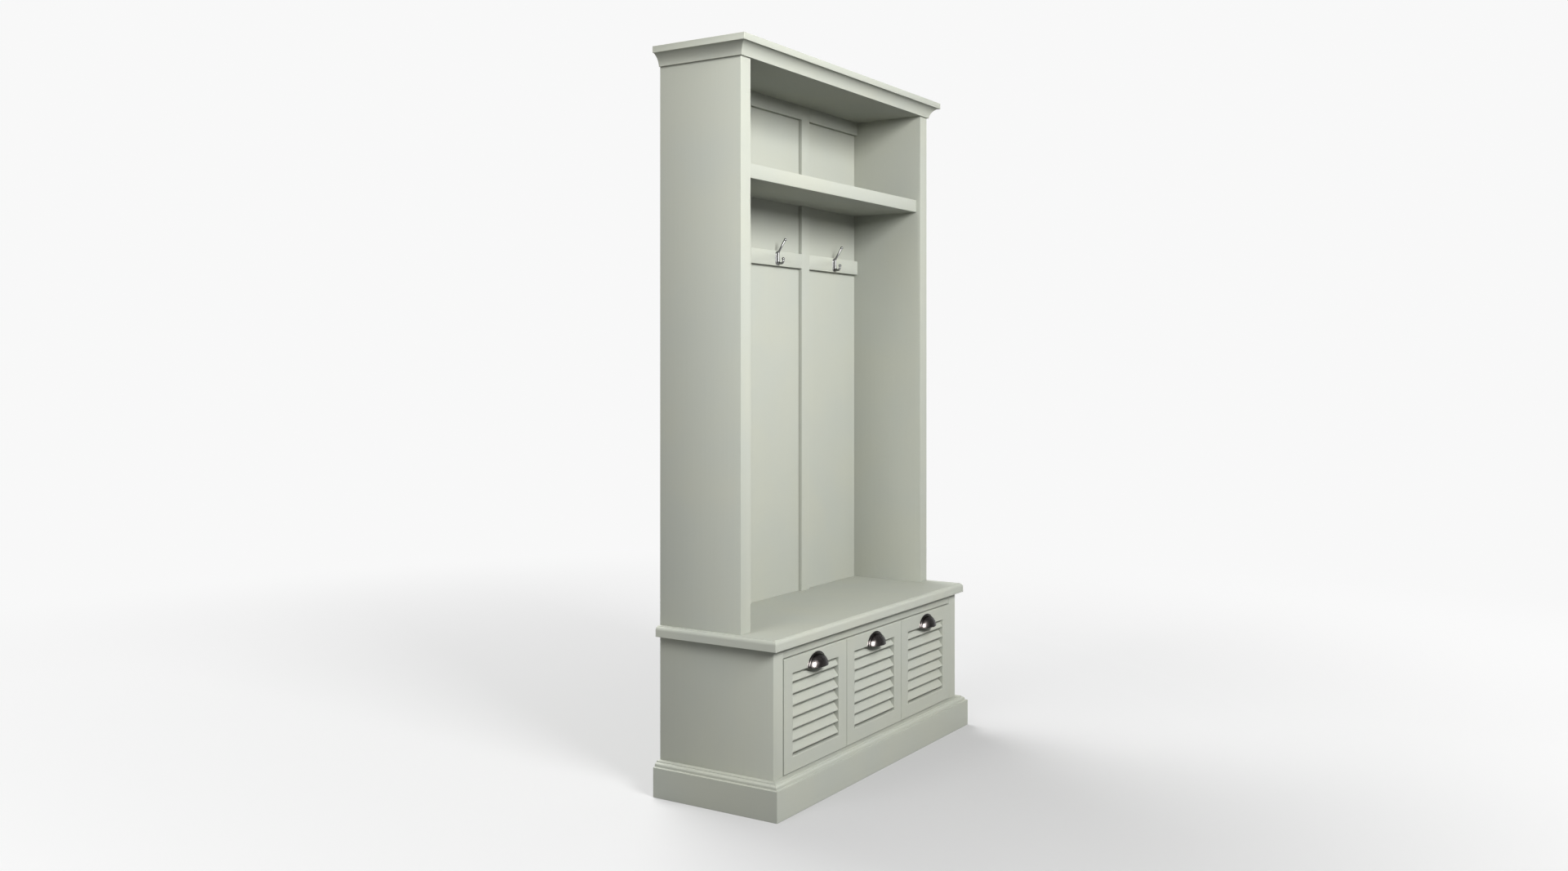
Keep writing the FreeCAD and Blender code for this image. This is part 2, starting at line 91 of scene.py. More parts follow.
class Grain(Enum):
    """Axis along which a board's grain and its brush strokes run."""

    ACROSS = 0
    DEPTH = 1
    UPRIGHT = 2

    def stretch(self, fine: float, along: float) -> Triple:
        """Scale of a pattern that is fine across the grain and drawn out along it.

        Args:
            fine: Repeats in a metre across the grain.
            along: Repeats in a metre along the grain.

        Returns:
            One scale for each axis.
        """
        return tuple(along if axis == self.value else fine for axis in range(3))


class Place(Enum):
    """Where a drawer or a hook stands, as seen from the front."""

    LEFT = "left"
    MIDDLE = "middle"
    RIGHT = "right"


class NodeMaker:
    """Adds nodes to a tree and joins them."""

    def __init__(self, tree: bpy.types.NodeTree) -> None:
        """Empties a tree, which is then filled with nodes."""
        self.tree = tree
        self.tree.nodes.clear()

    def add(self, kind: str, inputs: Inputs | None = None, **settings: object) -> bpy.types.Node:
        """Adds a node.

        Args:
            kind: Type of the node.
            inputs: Values for its inputs, by name or number; an output socket is joined instead.
            settings: Properties of the node.

        Returns:
            The new node.
        """
        node = self.tree.nodes.new(kind)
        for key, value in settings.items():
            setattr(node, key, value)
        for key, value in (inputs or {}).items():
            if isinstance(value, bpy.types.NodeSocket):
                self.tree.links.new(value, node.inputs[key])
            else:
                node.inputs[key].default_value = value
        return node


class Graph(NodeMaker):
    """Nodes of one material, with short calls for what its finishes share."""

    def __init__(self, name: str) -> None:
        """Starts an empty node material.

        Args:
            name: Name of the material.
        """
        self.material = bpy.data.materials.new(name)
        self.material.use_nodes = True
        super().__init__(self.material.node_tree)

    def place(self, scale: Triple = (1.0, 1.0, 1.0)) -> bpy.types.NodeSocket:
        """Object coordinates, scaled."""
        coords = self.add("ShaderNodeTexCoord").outputs["Object"]
        return self.add("ShaderNodeMapping", {"Vector": coords, "Scale": scale}).outputs["Vector"]

    def noise(self, vector: bpy.types.NodeSocket, scale: float, detail: float) -> bpy.types.NodeSocket:
        """Soft noise from 0 to 1."""
        inputs = {"Vector": vector, "Scale": scale, "Detail": detail}
        return self.add("ShaderNodeTexNoise", inputs).outputs["Fac"]

    def spread(self, value: bpy.types.NodeSocket, low: float, high: float) -> bpy.types.NodeSocket:
        """The middle of a noise's range, spread from one value to another."""
        inputs = {"Value": value, "From Min": NOISE_LOW, "From Max": NOISE_HIGH,
                  "To Min": low, "To Max": high}
        return self.add("ShaderNodeMapRange", inputs).outputs["Result"]

    def ramp(self, value: bpy.types.NodeSocket, stops: list[tuple[float, Colour]]) -> bpy.types.NodeSocket:
        """Colour along a row of stops.

        Args:
            value: Place along the row, from 0 to 1.
            stops: Place and colour of each stop.

        Returns:
            The colour.
        """
        node = self.add("ShaderNodeValToRGB", {"Fac": value})
        elements = node.color_ramp.elements
        while len(elements) < len(stops):
            elements.new(1.0)
        for element, (position, colour) in zip(elements, stops):
            element.position = position
            element.color = (*colour, 1.0)
        return node.outputs["Color"]

    def multiply(self, colour: bpy.types.NodeSocket, by: bpy.types.NodeSocket) -> bpy.types.NodeSocket:
        """A colour times a value."""
        inputs = {0: colour, "Scale": by}
        return self.add("ShaderNodeVectorMath", inputs, operation="SCALE").outputs["Vector"]

    def bump(self, height: bpy.types.NodeSocket, depth: float, strength: float) -> bpy.types.NodeSocket:
        """Surface normal of a height pattern."""
        inputs = {"Height": height, "Distance": depth, "Strength": strength}
        return self.add("ShaderNodeBump", inputs).outputs["Normal"]

    def surface(self, inputs: Inputs) -> bpy.types.Material:
        """Ends the graph in a surface shader.

        Args:
            inputs: Values or sockets for the shader.

        Returns:
            The finished material.
        """
        shader = self.add("ShaderNodeBsdfPrincipled", inputs)
        self.add("ShaderNodeOutputMaterial", {"Surface": shader.outputs["BSDF"]})
        return self.material


@dataclass(frozen=True)
class SatinPaint:
    """Brushed satin paint in a pale sage."""

    slot: str = "painted_wood"
    colour: Colour = (0.504, 0.522, 0.457)
    cool_shares: Triple = (0.994, 1.0, 1.012)
    warm_shares: Triple = (1.006, 1.0, 0.985)
    tint_stops: Span = (0.35, 0.65)
    roughness: float = 0.56
    roughness_change: Span = (-0.04, 0.05)
    sheen: float = 0.16
    stroke_width: float = 0.0030
    stroke_length: float = 0.20
    stroke_detail: float = 3.0
    stroke_tone: Span = (0.992, 1.008)
    cloud_size: float = 0.22
    cloud_detail: float = 2.0
    cloud_tone: Span = (-0.012, 0.012)
    stipple_size: float = 0.0008
    stipple_detail: float = 1.0
    film_depth: float = 0.00025
    film_strength: float = 0.10

    @cache
    def material(self, grain: Grain) -> bpy.types.Material:
        """Paint brushed along a board.

        Args:
            grain: Direction of the brush strokes.

        Returns:
            The node material.
        """
        graph = Graph(f"satin_sage_paint_{grain.name.lower()}")
        stretch = grain.stretch(1 / self.stroke_width, 1 / self.stroke_length)
        strokes = graph.noise(graph.place(stretch), 1.0, self.stroke_detail)
        clouds = graph.noise(graph.place(), 1 / self.cloud_size, self.cloud_detail)
        stipple = graph.noise(graph.place(), 1 / self.stipple_size, self.stipple_detail)
        tones = {0: graph.spread(clouds, *self.cloud_tone), 1: graph.spread(strokes, *self.stroke_tone)}
        tone = graph.add("ShaderNodeMath", tones, operation="ADD").outputs[0]
        warm = tuple(c * share for c, share in zip(self.colour, self.warm_shares))
        cool = tuple(c * share for c, share in zip(self.colour, self.cool_shares))
        tint = graph.ramp(clouds, list(zip(self.tint_stops, (cool, warm))))
        film = graph.add("ShaderNodeMath", {0: strokes, 1: stipple}, operation="ADD").outputs[0]
        rough = [self.roughness + change for change in self.roughness_change]
        return graph.surface({
            "Base Color": graph.multiply(tint, tone),
            "Roughness": graph.spread(strokes, *rough),
            "Specular IOR Level": self.sheen,
            "Normal": graph.bump(film, self.film_depth, self.film_strength),
        })


@dataclass(frozen=True)
class SealedHardwood:
    """Pale hardwood under a clear sealer, with drawn-out pores and soft growth rings."""

    slot: str = "drawer_wood"
    light: Colour = (0.640, 0.440, 0.255)
    middle: Colour = (0.560, 0.365, 0.200)
    dark: Colour = (0.430, 0.262, 0.135)
    ring_width: float = 0.016
    ring_run: float = 0.55
    ring_detail: float = 4.0
    ring_stops: Triple = (0.28, 0.50, 0.72)
    pore_width: float = 0.0006
    pore_length: float = 0.012
    pore_detail: float = 2.0
    pore_tone: Span = (0.90, 1.06)
    pore_depth: float = 0.0002
    pore_strength: float = 0.25
    roughness: float = 0.46
    roughness_change: Span = (0.08, -0.04)

    @cache
    def material(self, grain: Grain) -> bpy.types.Material:
        """Hardwood with its grain along a board.

        Args:
            grain: Direction of the grain.

        Returns:
            The node material.
        """
        graph = Graph(f"sealed_hardwood_{grain.name.lower()}")
        ring_stretch = grain.stretch(1 / self.ring_width, 1 / self.ring_run)
        pore_stretch = grain.stretch(1 / self.pore_width, 1 / self.pore_length)
        rings = graph.noise(graph.place(ring_stretch), 1.0, self.ring_detail)
        pores = graph.noise(graph.place(pore_stretch), 1.0, self.pore_detail)
        figure = graph.ramp(rings, list(zip(self.ring_stops, (self.dark, self.middle, self.light))))
        rough = [self.roughness + change for change in self.roughness_change]
        return graph.surface({
            "Base Color": graph.multiply(figure, graph.spread(pores, *self.pore_tone)),
            "Roughness": graph.spread(pores, *rough),
            "Normal": graph.bump(pores, self.pore_depth, self.pore_strength),
        })


@dataclass(frozen=True)
class PolishedMetal:
    """Polished metal with a faint haze of fine rubbing marks."""

    name: str
    slot: str
    colour: Colour
    roughness: float
    roughness_shares: Span = (0.8, 1.25)
    dull_share: float = 0.88
    haze_size: float = 0.012
    haze_detail: float = 3.0
    haze_stops: Span = (0.30, 0.60)
    mark_size: float = 0.0006
    mark_detail: float = 1.0
    mark_stretch: Triple = (1.0, 1.0, 6.0)
    mark_depth: float = 0.00004
    mark_strength: float = 0.06

    @cache
    def material(self) -> bpy.types.Material:
        """Polished metal.

        Returns:
            The node material.
        """
        graph = Graph(self.name)
        haze = graph.noise(graph.place(), 1 / self.haze_size, self.haze_detail)
        marks = graph.noise(graph.place(self.mark_stretch), 1 / self.mark_size, self.mark_detail)
        dull = tuple(c * self.dull_share for c in self.colour)
        rough = [self.roughness * share for share in self.roughness_shares]
        return graph.surface({
            "Base Color": graph.ramp(haze, list(zip(self.haze_stops, (dull, self.colour)))),
            "Metallic": 1.0,
            "Roughness": graph.spread(haze, *rough),
            "Normal": graph.bump(marks, self.mark_depth, self.mark_strength),
        })


PAINT = SatinPaint()
HARDWOOD = SealedHardwood()
# The hooks' chrome is set much darker than chrome's own colour, as a painted dark reflection of the
# surroundings; their bright glints come from a lamp.
HOOK_METAL = PolishedMetal("polished_hook_chrome", "hook_chrome", (0.25, 0.25, 0.247), 0.14)
PULL_METAL = PolishedMetal("dark_bronze_polish", "pull_metal", (0.0215, 0.0195, 0.0187), 0.27)
SCREW_STEEL = PolishedMetal("plain_screw_steel", "screw_steel", (0.50, 0.51, 0.53), 0.30)


def body_of(node: str) -> str:
    """Name of the body that a CAD node rides on."""
    return frame["nodes"][node]["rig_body"]


@cache
def lit_group(slot: str) -> bpy.types.Collection:
    """Group of the pieces of one slot, for a lamp that lights them alone."""
    return bpy.data.collections.new(f"lit_{slot}")


def bridge(bm: bmesh.types.BMesh, rows: list[Row], closed: bool = True) -> None:
    """Joins each row of points to the next with faces.

    Args:
        bm: Mesh that holds the points.
        rows: Rows with the same number of points.
        closed: Whether a row runs on from its last point to its first.
    """
    for here, there in zip(rows, rows[1:]):
        for k in range(len(here) if closed else len(here) - 1):
            after = (k + 1) % len(here)
            bm.faces.new((here[k], here[after], there[after], there[k]))


def loft(bm: bmesh.types.BMesh, rows: list[Row]) -> None:
    """Joins closed rows of points into a solid, with a face over the first row and the last.

    Args:
        bm: Mesh that holds the points.
        rows: Rows with the same number of points.
    """
    bridge(bm, rows)
    for end in (rows[0], rows[-1]):
        bm.faces.new(end)


def mesh_from(name: str, bm: bmesh.types.BMesh, shell: bool = False) -> bpy.types.Mesh:
    """Ends a mesh in the making, with its faces outwards and smooth.

    Args:
        name: Name of the mesh.
        bm: The faces, which are freed.
        shell: Whether they are an open shell, whose outside faces the front.

    Returns:
        The mesh.
    """
    bmesh.ops.recalc_face_normals(bm, faces=bm.faces)
    if shell and sum(face.normal.y for face in bm.faces) > 0:
        bmesh.ops.reverse_faces(bm, faces=bm.faces)
    mesh = bpy.data.meshes.new(name)
    bm.to_mesh(mesh)
    bm.free()
    mesh.shade_smooth()
    return mesh


def add_piece(mesh: bpy.types.Mesh, material: bpy.types.Material, slot: str,
              nodes: list[str]) -> bpy.types.Object:
    """Puts a finished mesh into the scene, in the stead of CAD nodes.

    Args:
        mesh: Mesh in its place; its name becomes the piece's.
        material: Finish of the whole mesh.
        slot: The record's slot for that finish.
        nodes: CAD nodes that the piece stands for, all on one body.

    Returns:
        The piece.
    """
    mesh.materials.clear()
    mesh.materials.append(material)
    piece = bpy.data.objects.new(mesh.name, mesh)
    bpy.context.scene.collection.objects.link(piece)
    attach(piece, body_of(nodes[0]))
    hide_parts(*nodes)
    lit_group(slot).objects.link(piece)
    log.info("%s stands for %s", piece.name, ", ".join(nodes))
    return piece


def ease(piece: bpy.types.Object, radius: float, segments: int = 3) -> None:
    """Rounds the arrises of a piece.

    Args:
        piece: Piece whose corners are rounded where its faces turn sharply.
        radius: Radius of the rounding.
        segments: Faces across the rounding.
    """
    bevel = piece.modifiers.new("eased_edges", "BEVEL")
    bevel.width = radius
    bevel.segments = segments
    bevel.limit_method = "ANGLE"
    bevel.angle_limit = SMOOTH_LIMIT
    bevel.harden_normals = True


def even_shading(piece: bpy.types.Object) -> None:
    """Keeps flat faces flat next to rounded ones."""
    weighted = piece.modifiers.new("even_shading", "WEIGHTED_NORMAL")
    weighted.keep_sharp = True


def dress(node: str, material: bpy.types.Material) -> None:
    """Gives a CAD node that stays in view its finish.

    Args:
        node: Name of the node.
        material: Its finish.
    """
    frame["nodes"][node].material_slots[0].material = material
    log.info("%s keeps its CAD shape", node)


@dataclass(frozen=True)
class Board:
    """A board that keeps its CAD shape and gets eased edges and a finish."""

    node: str
    grain: Grain
    finish: SatinPaint | SealedHardwood = PAINT
    ease: float = 0.0010
    merge: float = 1e-6
    flat: float = math.radians(0.5)

    def build(self) -> None:
        """Makes the board from a merged copy of its CAD node."""
        bm = bmesh.new()
        bm.from_mesh(frame["nodes"][self.node].data)
        bmesh.ops.remove_doubles(bm, verts=bm.verts, dist=self.merge)
        bmesh.ops.dissolve_limit(bm, angle_limit=self.flat, verts=bm.verts, edges=bm.edges)
        mesh = mesh_from(f"board_{self.node}", bm)
        piece = add_piece(mesh, self.finish.material(self.grain), self.finish.slot, [self.node])
        ease(piece, self.ease)


@dataclass(frozen=True)
class CasePlan:
    """Plan of a case: half its width, and the Y of its front and back planes."""

    half_width: float
    front: float
    back: float

    @classmethod
    def of(cls, side_node: str) -> "CasePlan":
        """Plan of the case that a left side board belongs to."""
        low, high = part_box(side_node)
        return cls(-low.x, low.y, high.y)

    def ring(self, out: float, up: float) -> list[Vector]:
        """Plan corners of a line that stands out from the case.

        Args:
            out: Distance from the left, front and right planes.
            up: Height above the floor.

        Returns:
            Left back, left front, right front and right back corners.
        """
        x = self.half_width + out
        front = self.front - out
        corners = ((-x, self.back), (-x, front), (x, front), (x, self.back))
        return [Vector((*corner, up)) for corner in corners]

    def plant(self, name: str, profile: Profile, radius: float) -> None:
        """Plants a moulding on the case, in mitred lengths at its left, front and right.

        Args:
            name: What the CAD nodes' names start with.
            profile: Closed outline of distances out and heights.
            radius: Radius of its eased edges.
        """
        sides = (("left", Grain.DEPTH), ("front", Grain.ACROSS), ("right", Grain.DEPTH))
        for k, (side, grain) in enumerate(sides):
            bm = bmesh.new()
            rings = [self.ring(out, up) for out, up in profile]
            loft(bm, [[bm.verts.new(ring[k + end]) for ring in rings] for end in (0, 1)])
            mesh = mesh_from(f"{name}_{side}_length", bm)
            ease(add_piece(mesh, PAINT.material(grain), PAINT.slot, [f"{name}_{side}"]), radius)

    def slab(self, name: str, profile: Profile) -> bpy.types.Mesh:
        """Solid board with a moulded edge at its left, front and right.

        Args:
            name: Name of the mesh.
            profile: Distances out and heights of the edge, from the underside to the top.

        Returns:
            The mesh.
        """
        bm = bmesh.new()
        loft(bm, [[bm.verts.new(corner) for corner in self.ring(out, up)] for out, up in profile])
        return mesh_from(name, bm)


def quarter_round(out: float, up: float, run: float, rise: float, steps: int = 10) -> Profile:
    """Convex quarter ellipse that starts upright and ends level.

    Args:
        out: Distance out at its foot.
        up: Height of its foot.
        run: How far it draws in.
        rise: How far it climbs.
        steps: Lengths that it is made of.

    Returns:
        Points from foot to head.
    """
    turns = [math.pi / 2 * k / steps for k in range(steps + 1)]
    return [(out - run * (1 - math.cos(t)), up + rise * math.sin(t)) for t in turns]


def hollow(foot: tuple[float, float], head: tuple[float, float], sag: float, steps: int = 16) -> Profile:
    """Circular arc that hollows the line between two points.

    Args:
        foot: Lower point, as a distance out and a height.
        head: Upper point.
        sag: Depth of the hollow as a share of the line.
        steps: Lengths that it is made of.

    Returns:
        Points from foot to head.
    """
    start, end = Vector(foot), Vector(head)
    chord = end - start
    depth = sag * chord.length
    radius = (chord.length ** 2 / 4 + depth ** 2) / (2 * depth)
    inward = Vector((-chord.y, chord.x)).normalized()
    centre = (start + end) / 2 + inward * (depth - radius)
    half = math.asin(chord.length / 2 / radius)
    along = chord.normalized()
    turns = [half * (2 * k / steps - 1) for k in range(steps + 1)]
    points = [centre + radius * (along * math.sin(t) + inward * math.cos(t)) for t in turns]
    return [(p.x, p.y) for p in points]


@dataclass(frozen=True)
class Plinth:
    """Plinth moulding: a flat face, a ledge, a quarter round and a top fillet."""

    projection: float = 0.031
    height: float = 0.094
    face_height: float = 0.080
    step: float = 0.007
    step_rise: float = 0.005
    round_in: float = 0.008
    round_rise: float = 0.0055
    ease: float = 0.0012

    def build(self) -> None:
        """Makes the moulding round the base."""
        face_out = self.projection
        step_out = face_out - self.step
        round_foot = self.face_height + self.step_rise
        profile = [(0.0, 0.0), (face_out, 0.0), (face_out, self.face_height), (step_out, self.face_height)]
        profile += quarter_round(step_out, round_foot, self.round_in, self.round_rise)
        profile += [(step_out - self.round_in, self.height), (0.0, self.height)]
        CasePlan.of("base_left_side").plant("plinth", profile, self.ease)


@dataclass(frozen=True)
class Cornice:
    """Hollow cornice moulding under the square cap."""

    foot_out: float = 0.0058
    head_out: float = 0.0275
    sag: float = 0.13
    ease: float = 0.0006

    def build(self) -> None:
        """Makes the moulding round the top of the hutch."""
        low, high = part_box("cove_front")
        face = hollow((self.foot_out, low.z), (self.head_out, high.z), self.sag)
        profile = [(0.0, low.z), *face, (0.0, high.z)]
        CasePlan.of("hutch_left_side").plant("cove", profile, self.ease)


@dataclass(frozen=True)
class Bench:
    """Bench board with a moulded front and ends."""

    projection: float = 0.020
    face_height: float = 0.017
    round_in: float = 0.0075
    round_rise: float = 0.010
    ease: float = 0.0020

    def build(self) -> None:
        """Makes the bench board."""
        low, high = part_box("bench_top")
        face_top = low.z + self.face_height
        profile = [(self.projection, low.z)]
        profile += quarter_round(self.projection, face_top, self.round_in, self.round_rise)
        profile += [(self.projection - self.round_in, high.z)]
        mesh = CasePlan.of("base_left_side").slab("bench_board", profile)
        ease(add_piece(mesh, PAINT.material(Grain.ACROSS), PAINT.slot, ["bench_top"]), self.ease)


@dataclass
class Carcass:
    """Fixed case: base, bench, hutch and cornice."""

    boards: list[Board] = field(default_factory=lambda: [
        Board("base_left_side", Grain.UPRIGHT),
        Board("base_right_side", Grain.UPRIGHT),
        Board("base_floor", Grain.ACROSS),
        Board("base_floor_rail", Grain.ACROSS),
        Board("base_top_rail", Grain.ACROSS),
        Board("base_back", Grain.ACROSS),
        Board("left_divider", Grain.UPRIGHT),
        Board("right_divider", Grain.UPRIGHT),
        Board("hutch_left_side", Grain.UPRIGHT),
        Board("hutch_right_side", Grain.UPRIGHT),
        Board("hutch_back", Grain.UPRIGHT),
        Board("hutch_top", Grain.ACROSS),
        Board("cornice_cap", Grain.ACROSS),
        Board("shelf", Grain.ACROSS),
        Board("left_batten", Grain.UPRIGHT, ease=SLIGHT_EASE),
        Board("right_batten", Grain.UPRIGHT, ease=SLIGHT_EASE),
        Board("hook_rails", Grain.ACROSS, ease=SLIGHT_EASE),
        Board("back_top_rails", Grain.ACROSS, ease=SLIGHT_EASE),
        Board("drawer_runners", Grain.DEPTH, HARDWOOD, ease=SLIGHT_EASE),
    ])

    def build(self) -> None:
        """Makes every board and moulding, and dresses the hidden dowels and screws."""
        for board in self.boards:
            board.build()
        Plinth().build()
        Bench().build()
        Cornice().build()
        dress("hutch_dowels", HARDWOOD.material(Grain.UPRIGHT))
        dress("runner_screws", SCREW_STEEL.material())


class ShapeTree(NodeMaker):
    """A geometry node tree with named inputs, run on an empty object to make a plain mesh."""

    def __init__(self, name: str, inputs: dict[str, str]) -> None:
        """Starts a tree.

        Args:
            name: Name of the tree.
            inputs: Socket type of each input, by the input's name.
        """
        super().__init__(bpy.data.node_groups.new(name, "GeometryNodeTree"))
        self.tree.is_modifier = True
        self.tree.interface.new_socket("Geometry", in_out="OUTPUT", socket_type="NodeSocketGeometry")
        self.keys = {}
        for label, kind in inputs.items():
            socket = self.tree.interface.new_socket(label, in_out="INPUT", socket_type=kind)
            self.keys[label] = socket.identifier
        self.inputs = self.add("NodeGroupInput").outputs

    def finish(self, instances: bpy.types.NodeSocket) -> None:
        """Ends the tree by making its copies real and giving them their finish.

        Args:
            instances: Geometry that the tree has made.
        """
        real = self.add("GeometryNodeRealizeInstances", {"Geometry": instances})
        smooth = self.add("GeometryNodeSetShadeSmooth", {"Geometry": real.outputs["Geometry"]})
        painted = self.add("GeometryNodeSetMaterial", {"Geometry": smooth.outputs["Geometry"],
                                                       "Material": self.inputs["Material"]})
        self.add("NodeGroupOutput", {"Geometry": painted.outputs["Geometry"]})

    def run(self, name: str, values: dict[str, object]) -> bpy.types.Mesh:
        """Runs the tree once.

        Args:
            name: Name of the mesh.
            values: Values of the tree's inputs, by name.

        Returns:
            A plain mesh.
        """
        host = bpy.data.objects.new(name, bpy.data.meshes.new(f"{name}_host"))
        bpy.context.scene.collection.objects.link(host)
        modifier = host.modifiers.new("shape", "NODES")
        modifier.node_group = self.tree
        for label, value in values.items():
            modifier[self.keys[label]] = value
        depsgraph = bpy.context.evaluated_depsgraph_get()
        mesh = bpy.data.meshes.new_from_object(host.evaluated_get(depsgraph), depsgraph=depsgraph)
        mesh.name = name
        bpy.data.objects.remove(host)
        return mesh


@cache
def slat_tree() -> ShapeTree:
    """Tree of a row of tilted slats with round edges, one above another.

    Returns:
        The tree.
    """
    shape = ShapeTree("louvre_slats", {
        "Count": "NodeSocketInt", "Pitch": "NodeSocketFloat", "Length": "NodeSocketFloat",
        "Width": "NodeSocketFloat", "Thickness": "NodeSocketFloat", "Lean": "NodeSocketFloat",
        "First": "NodeSocketVector", "Edge": "NodeSocketFloat", "Material": "NodeSocketMaterial",
    })
    given = shape.inputs
    outline = shape.add("GeometryNodeCurvePrimitiveQuadrilateral", {
        "Width": given["Width"], "Height": given["Thickness"],
    })
    rounded = shape.add("GeometryNodeFilletCurve", {
        "Curve": outline.outputs["Curve"], "Count": SLAT_EDGE_STEPS, "Radius": given["Edge"],
        "Limit Radius": True,
    }, mode="POLY")
    end = shape.add("ShaderNodeCombineXYZ", {"Z": given["Length"]})
    path = shape.add("GeometryNodeCurvePrimitiveLine", {"End": end.outputs[0]})
    bar = shape.add("GeometryNodeCurveToMesh", {
        "Curve": path.outputs["Curve"], "Profile Curve": rounded.outputs["Curve"], "Fill Caps": True,
    })
    end_to_middle = -0.5
    half = shape.add("ShaderNodeMath", {0: given["Length"], 1: end_to_middle}, operation="MULTIPLY")
    shift = shape.add("ShaderNodeCombineXYZ", {"X": half.outputs[0]})
    level = shape.add("GeometryNodeTransform", {
        "Geometry": bar.outputs["Mesh"], "Translation": shift.outputs[0],
        "Rotation": (0.0, math.pi / 2, 0.0),
    })
    lean = shape.add("ShaderNodeCombineXYZ", {"X": given["Lean"]})
    tilted = shape.add("GeometryNodeTransform", {
        "Geometry": level.outputs["Geometry"], "Rotation": lean.outputs[0],
    })
    step = shape.add("ShaderNodeCombineXYZ", {"Z": given["Pitch"]})
    row = shape.add("GeometryNodeMeshLine", {
        "Count": given["Count"], "Start Location": given["First"], "Offset": step.outputs[0],
    })
    copies = shape.add("GeometryNodeInstanceOnPoints", {
        "Points": row.outputs["Mesh"], "Instance": tilted.outputs["Geometry"],
    })
    shape.finish(copies.outputs["Instances"])
    return shape


@dataclass(frozen=True)
class LouvredFront:
    """Louvred drawer front: a frame with eased edges and a row of tilted slats."""

    place: Place
    slat_count: int = 7
    slat_width: float = 0.0315
    slat_thickness: float = 0.0065
    slat_tilt: float = math.radians(52.0)
    outer_ease: float = 0.0012
    opening_ease: float = 0.0022
    opening_steps: int = 4

    def node(self, piece: str) -> str:
        """Name of one of the front's CAD nodes."""
        return f"{self.place.value}_drawer_{piece}"

    def build(self) -> None:
        """Makes the frame and the slats."""
        self.build_frame()
        self.build_slats()

    def build_frame(self) -> None:
        """Makes the frame, whose opening is as wide and as high as the rails leave it."""
        outer_low, outer_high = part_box(self.node("front_stiles"))
        rail_low, rail_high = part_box(self.node("front_rails"))
        rails = frame["nodes"][self.node("front_rails")].data.vertices
        middle = (outer_low.z + outer_high.z) / 2
        sill = max(v.co.z for v in rails if v.co.z < middle)
        head = min(v.co.z for v in rails if v.co.z > middle)
        outside = ((outer_low.x, outer_high.x), (outer_low.z, outer_high.z))
        opening = ((rail_low.x, rail_high.x), (sill, head))
        corners = ((0, 0), (1, 0), (1, 1), (0, 1))
        bm = bmesh.new()
        rows = []
        for y in (outer_low.y, outer_high.y):
            rows += [[bm.verts.new((x[i], y, z[k])) for i, k in corners] for x, z in (outside, opening)]
        # The front, the back, the outside and the inside of the opening.
        for here, there in ((0, 1), (2, 3), (0, 2), (1, 3)):
            bridge(bm, [rows[here], rows[there]])
        bmesh.ops.recalc_face_normals(bm, faces=bm.faces)
        rim = [e for e in bm.edges if all(v in rows[1] for v in e.verts)]
        bmesh.ops.bevel(bm, geom=rim, offset=self.opening_ease, segments=self.opening_steps,
                        profile=ROUND_PROFILE, affect="EDGES")
        mesh = mesh_from(f"{self.place.value}_front_frame", bm)
        nodes = [self.node("front_stiles"), self.node("front_rails")]
        ease(add_piece(mesh, PAINT.material(Grain.UPRIGHT), PAINT.slot, nodes), self.outer_ease)

    def build_slats(self) -> None:
        """Makes the row of slats."""
        low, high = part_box(self.node("louvre_slats"))
        core = self.slat_width - self.slat_thickness
        rise = core * math.sin(self.slat_tilt) + self.slat_thickness
        pitch = (high.z - low.z - rise) / (self.slat_count - 1)
        first = Vector(((low.x + high.x) / 2, (low.y + high.y) / 2, low.z + rise / 2))
        paint = PAINT.material(Grain.ACROSS)
        mesh = slat_tree().run(f"{self.place.value}_louvre_slats", {
            "Count": self.slat_count, "Pitch": pitch, "Length": high.x - low.x, "Width": self.slat_width,
            "Thickness": self.slat_thickness, "Lean": self.slat_tilt - math.pi / 2, "First": first,
            "Edge": self.slat_thickness / 2, "Material": paint,
        })
        piece = add_piece(mesh, paint, PAINT.slot, [self.node("louvre_slats")])
        even_shading(piece)


